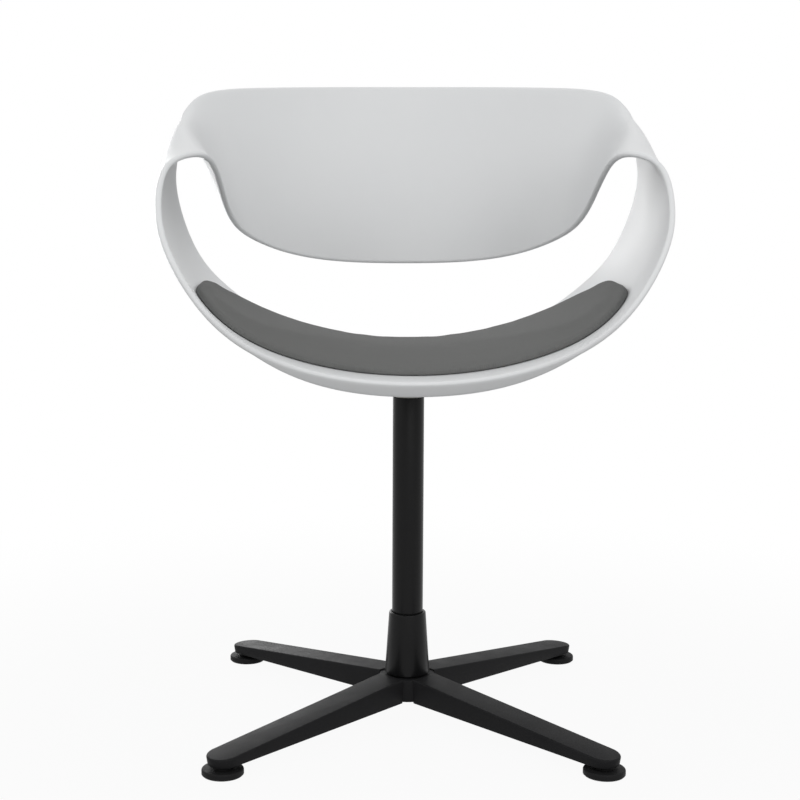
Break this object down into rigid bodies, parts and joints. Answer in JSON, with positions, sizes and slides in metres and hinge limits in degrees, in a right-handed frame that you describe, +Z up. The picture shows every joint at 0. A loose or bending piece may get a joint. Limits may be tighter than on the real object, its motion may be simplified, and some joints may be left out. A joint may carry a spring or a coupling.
{
  "type": "swivel lounge chair",
  "caption": "Swivel visitor chair with a moulded shell whose seat, arms and backrest are one twisted band, a thin seat pad, a slim column and a star base on levelling glides.",
  "frame": {"origin": "on the floor under the middle of the column", "axes": "+Z up along the column, the sitter faces -Y, +X is the right of the picture"},
  "size_m": [0.6294, 0.4989, 0.819],
  "materials": {
    "white_shell": "satin white moulded shell",
    "grey_cloth": "fine dark grey upholstery cloth",
    "foam": "open-cell cushion foam",
    "black_board": "black moulded board",
    "black_coat": "fine black powder coat",
    "black_steel": "black oxide steel",
    "bright_steel": "zinc plated steel",
    "brass": "turned brass",
    "pale_polymer": "natural bearing polymer",
    "black_plastic": "black moulded plastic"
  },
  "bodies": {
    "base": {"column_tube": "black_coat", "top_bush": "pale_polymer", "lower_bush": "pale_polymer", "column_plug": "bright_steel", "column_cone": "black_coat", "star_base": "black_coat", "clamp_washer": "bright_steel", "clamp_bolt": "bright_steel"},
    "seat": {"seat_shell": "white_shell", "seat_pad_cover": "grey_cloth", "seat_pad_foam": "foam", "seat_pad_carrier": "black_board", "pad_screw_1": "bright_steel", "pad_screw_2": "bright_steel", "pad_screw_3": "bright_steel", "pad_screw_4": "bright_steel", "swivel_plate": "black_coat", "swivel_spindle": "black_coat", "retaining_ring": "bright_steel", "plate_screw_1": "black_steel", "plate_screw_2": "black_steel", "plate_screw_3": "black_steel", "plate_screw_4": "black_steel", "shell_insert_1": "brass", "shell_insert_2": "brass", "shell_insert_3": "brass", "shell_insert_4": "brass"},
    "glide_rr": {"glide_foot_rr": "black_plastic", "glide_stem_rr": "bright_steel"},
    "glide_lr": {"glide_foot_lr": "black_plastic", "glide_stem_lr": "bright_steel"},
    "glide_lf": {"glide_foot_lf": "black_plastic", "glide_stem_lf": "bright_steel"},
    "glide_rf": {"glide_foot_rf": "black_plastic", "glide_stem_rf": "bright_steel"}
  },
  "joints": [
    {"name": "seat_swivel", "type": "hinge", "parent": "base", "child": "seat", "pos_m": [0, 0, 0.42], "axis": [0, 0, 1], "continuous": true},
    {"name": "glide_rr_level", "type": "slide", "parent": "base", "child": "glide_rr", "axis": [0, 0, -1], "range_m": [0, 0.005]},
    {"name": "glide_lr_level", "type": "slide", "parent": "base", "child": "glide_lr", "axis": [0, 0, -1], "range_m": [0, 0.005]},
    {"name": "glide_lf_level", "type": "slide", "parent": "base", "child": "glide_lf", "axis": [0, 0, -1], "range_m": [0, 0.005]},
    {"name": "glide_rf_level", "type": "slide", "parent": "base", "child": "glide_rf", "axis": [0, 0, -1], "range_m": [0, 0.005]}
  ]
}
